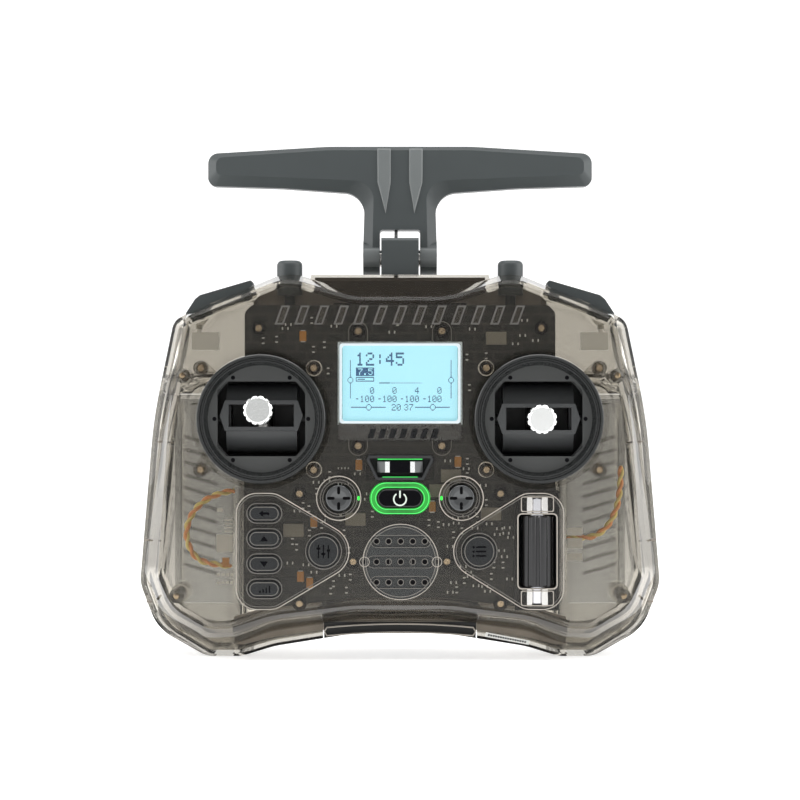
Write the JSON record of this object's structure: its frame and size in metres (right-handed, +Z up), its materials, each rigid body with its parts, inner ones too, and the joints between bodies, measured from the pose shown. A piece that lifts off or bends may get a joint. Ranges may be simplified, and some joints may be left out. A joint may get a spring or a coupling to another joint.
{
  "type": "radio transmitter controller",
  "caption": "Compact handheld two-stick radio control transmitter in a clear smoke case, with a lit screen, trim pads, a roller and a folding T antenna",
  "frame": {"origin": "centre of the footprint, on the surface that the two grip lobes stand on", "axes": "+Z up towards the antenna, -Y the front face with the sticks and screen, +X to the right seen from the front"},
  "size_m": [0.1566, 0.0652, 0.1552],
  "materials": {
    "smoke_shell": "clear smoke, polished",
    "smoke_cover": "darker clear smoke, polished",
    "smoke_key": "smoke grey, polished",
    "black_gloss": "polished black",
    "black_satin": "fine satin black",
    "green_light": "lit green",
    "screen": "lit pale blue",
    "screen_frame": "pale grey",
    "lens": "clear, polished",
    "board": "black solder mask",
    "packages": "moulded black and plated metal",
    "silver": "bright turned",
    "steel": "bright",
    "dark_chrome": "dark polished",
    "wire": "soft insulation"
  },
  "bodies": {
    "case": {"front_shell": "smoke_shell", "rear_shell": "smoke_shell", "battery_trays": "smoke_shell", "antenna_bracket": "black_gloss", "left_gimbal_bezel": "black_gloss", "right_gimbal_bezel": "black_gloss", "strap_cup": "black_satin", "speaker_grille": "black_satin", "left_gimbal_frame": "black_satin", "right_gimbal_frame": "black_satin", "switch_bodies": "black_satin", "speaker_driver": "black_satin", "antenna_coax": "black_satin", "power_light_ring": "green_light", "lcd_panel": "screen", "lcd_frame": "screen_frame", "lcd_lens": "lens", "main_board": "board", "radio_board": "board", "board_parts": "packages", "bottom_ports": "silver", "screws": "steel", "antenna_pin": "steel", "gimbal_springs": "steel", "contacts": "steel", "strap_bar": "dark_chrome", "wiring": "wire"},
    "left_drum": {"left_stick_drum": "black_gloss"},
    "left_stick": {"left_stick_shaft": "steel", "left_stick_end": "silver"},
    "left_bail": {"left_stick_bail": "black_satin"},
    "right_drum": {"right_stick_drum": "black_gloss"},
    "right_stick": {"right_stick_shaft": "steel", "right_stick_end": "silver"},
    "right_bail": {"right_stick_bail": "black_satin"},
    "power_button": {"power_key": "black_gloss"},
    "return_key_body": {"return_key": "smoke_key"},
    "page_next_key_body": {"page_next_key": "smoke_key"},
    "page_back_key_body": {"page_back_key": "smoke_key"},
    "telemetry_key_body": {"telemetry_key": "smoke_key"},
    "system_key_body": {"system_key": "smoke_key"},
    "model_key_body": {"model_key": "smoke_key"},
    "left_trim_base": {"left_trim_carrier": "smoke_key"},
    "left_trim": {"left_trim_pad": "silver"},
    "right_trim_base": {"right_trim_carrier": "smoke_key"},
    "right_trim": {"right_trim_pad": "silver"},
    "roller_cradle": {"roller_carriage": "black_satin"},
    "roller_drum": {"roller": "black_gloss"},
    "left_toggle_switch": {"left_toggle": "black_satin"},
    "left_shoulder": {"left_shoulder_button": "black_gloss"},
    "right_toggle_switch": {"right_toggle": "black_satin"},
    "right_shoulder": {"right_shoulder_button": "black_gloss"},
    "antenna_arm": {"antenna": "black_gloss"},
    "dial": {"side_dial": "black_satin"},
    "rear_button": {"momentary_button": "black_satin"},
    "left_door": {"left_battery_door": "smoke_cover"},
    "right_door": {"right_battery_door": "smoke_cover"},
    "bay_cover": {"module_cover": "black_satin"},
    "port_flap": {"port_cover": "smoke_cover"}
  },
  "joints": [
    {"name": "left_stick_up_down", "type": "hinge", "parent": "case", "child": "left_drum", "pos_m": [-0.0411, -0.0015, 0.0717], "axis": [1, 0, 0], "range_deg": [-19, 29]},
    {"name": "left_stick_side", "type": "hinge", "parent": "left_drum", "child": "left_stick", "pos_m": [-0.0411, -0.0015, 0.0717], "axis": [0, 0.0872, 0.9962], "range_deg": [-24, 24], "stiffness_Nm_per_rad": 0.03},
    {"name": "left_bail_turn", "type": "hinge", "parent": "case", "child": "left_bail", "pos_m": [-0.0411, -0.0015, 0.0717], "axis": [0, 0, 1], "range_deg": [-24, 24]},
    {"name": "right_stick_up_down", "type": "hinge", "parent": "case", "child": "right_drum", "pos_m": [0.0411, -0.0015, 0.0717], "axis": [1, 0, 0], "range_deg": [-24, 24], "stiffness_Nm_per_rad": 0.03},
    {"name": "right_stick_side", "type": "hinge", "parent": "right_drum", "child": "right_stick", "pos_m": [0.0411, -0.0015, 0.0717], "axis": [0, 0, 1], "range_deg": [-24, 24], "stiffness_Nm_per_rad": 0.03},
    {"name": "right_bail_turn", "type": "hinge", "parent": "case", "child": "right_bail", "pos_m": [0.0411, -0.0015, 0.0717], "axis": [0, 0, 1], "range_deg": [-24, 24]},
    {"name": "power_press", "type": "slide", "parent": "case", "child": "power_button", "axis": [0, 1, 0], "range_m": [0, 0.0007], "stiffness_N_per_m": 800},
    {"name": "return_press", "type": "slide", "parent": "case", "child": "return_key_body", "axis": [0, 1, 0], "range_m": [0, 0.0007], "stiffness_N_per_m": 800},
    {"name": "page_next_press", "type": "slide", "parent": "case", "child": "page_next_key_body", "axis": [0, 1, 0], "range_m": [0, 0.0007], "stiffness_N_per_m": 800},
    {"name": "page_back_press", "type": "slide", "parent": "case", "child": "page_back_key_body", "axis": [0, 1, 0], "range_m": [0, 0.0007], "stiffness_N_per_m": 800},
    {"name": "telemetry_press", "type": "slide", "parent": "case", "child": "telemetry_key_body", "axis": [0, 1, 0], "range_m": [0, 0.0007], "stiffness_N_per_m": 800},
    {"name": "system_press", "type": "slide", "parent": "case", "child": "system_key_body", "axis": [0, 1, 0], "range_m": [0, 0.0007], "stiffness_N_per_m": 800},
    {"name": "model_press", "type": "slide", "parent": "case", "child": "model_key_body", "axis": [0, 1, 0], "range_m": [0, 0.0007], "stiffness_N_per_m": 800},
    {"name": "left_trim_rock_side", "type": "hinge", "parent": "case", "child": "left_trim_base", "pos_m": [-0.0181, -0.0131, 0.0483], "axis": [0, 0, 1], "range_deg": [-3, 3], "stiffness_Nm_per_rad": 0.03},
    {"name": "left_trim_rock_up", "type": "hinge", "parent": "left_trim_base", "child": "left_trim", "pos_m": [-0.0181, -0.0131, 0.0483], "axis": [1, 0, 0], "range_deg": [-3, 3], "stiffness_Nm_per_rad": 0.03},
    {"name": "right_trim_rock_side", "type": "hinge", "parent": "case", "child": "right_trim_base", "pos_m": [0.0181, -0.0131, 0.0483], "axis": [0, 0, 1], "range_deg": [-3, 3], "stiffness_Nm_per_rad": 0.03},
    {"name": "right_trim_rock_up", "type": "hinge", "parent": "right_trim_base", "child": "right_trim", "pos_m": [0.0181, -0.0131, 0.0483], "axis": [1, 0, 0], "range_deg": [-3, 3], "stiffness_Nm_per_rad": 0.03},
    {"name": "roller_press", "type": "slide", "parent": "case", "child": "roller_cradle", "axis": [0, 1, 0], "range_m": [0, 0.0006], "stiffness_N_per_m": 800},
    {"name": "roller_turn", "type": "hinge", "parent": "roller_cradle", "child": "roller_drum", "pos_m": [0.0406, -0.0116, 0.0326], "axis": [0, 0, 1], "continuous": true},
    {"name": "left_toggle_tilt", "type": "hinge", "parent": "case", "child": "left_toggle_switch", "pos_m": [-0.0335, 0.007, 0.105], "axis": [1, 0, 0], "range_deg": [-10, 10]},
    {"name": "left_shoulder_press", "type": "hinge", "parent": "case", "child": "left_shoulder", "pos_m": [-0.0466, 0.007, 0.109], "axis": [0, -1, 0], "range_deg": [0, 4.5], "stiffness_Nm_per_rad": 0.4},
    {"name": "right_toggle_tilt", "type": "hinge", "parent": "case", "child": "right_toggle_switch", "pos_m": [0.0335, 0.007, 0.105], "axis": [1, 0, 0], "range_deg": [-10, 10]},
    {"name": "right_shoulder_press", "type": "hinge", "parent": "case", "child": "right_shoulder", "pos_m": [0.0466, 0.007, 0.109], "axis": [0, 1, 0], "range_deg": [0, 4.5], "stiffness_Nm_per_rad": 0.4},
    {"name": "antenna_fold", "type": "hinge", "parent": "case", "child": "antenna_arm", "pos_m": [0, 0.019, 0.1209], "axis": [-1, 0, 0], "range_deg": [0, 175]},
    {"name": "dial_turn", "type": "hinge", "parent": "case", "child": "dial", "pos_m": [-0.036, 0.0135, 0.076], "axis": [0, 1, 0], "range_deg": [-135, 135]},
    {"name": "rear_button_press", "type": "slide", "parent": "case", "child": "rear_button", "axis": [0, -1, 0], "range_m": [0, 0.0007], "stiffness_N_per_m": 800},
    {"name": "left_door_lift_off", "type": "slide", "parent": "case", "child": "left_door", "axis": [0, 1, 0], "range_m": [0, 0.015]},
    {"name": "right_door_lift_off", "type": "slide", "parent": "case", "child": "right_door", "axis": [0, 1, 0], "range_m": [0, 0.015]},
    {"name": "bay_cover_lift_off", "type": "slide", "parent": "case", "child": "bay_cover", "axis": [0, 1, 0], "range_m": [0, 0.015]},
    {"name": "port_cover_pull", "type": "slide", "parent": "case", "child": "port_flap", "axis": [0, 0, -1], "range_m": [0, 0.004]}
  ],
  "couplings": [
    {"joint": "left_bail_turn", "follows": "left_stick_side", "ratio": 1},
    {"joint": "right_bail_turn", "follows": "right_stick_side", "ratio": 1}
  ]
}
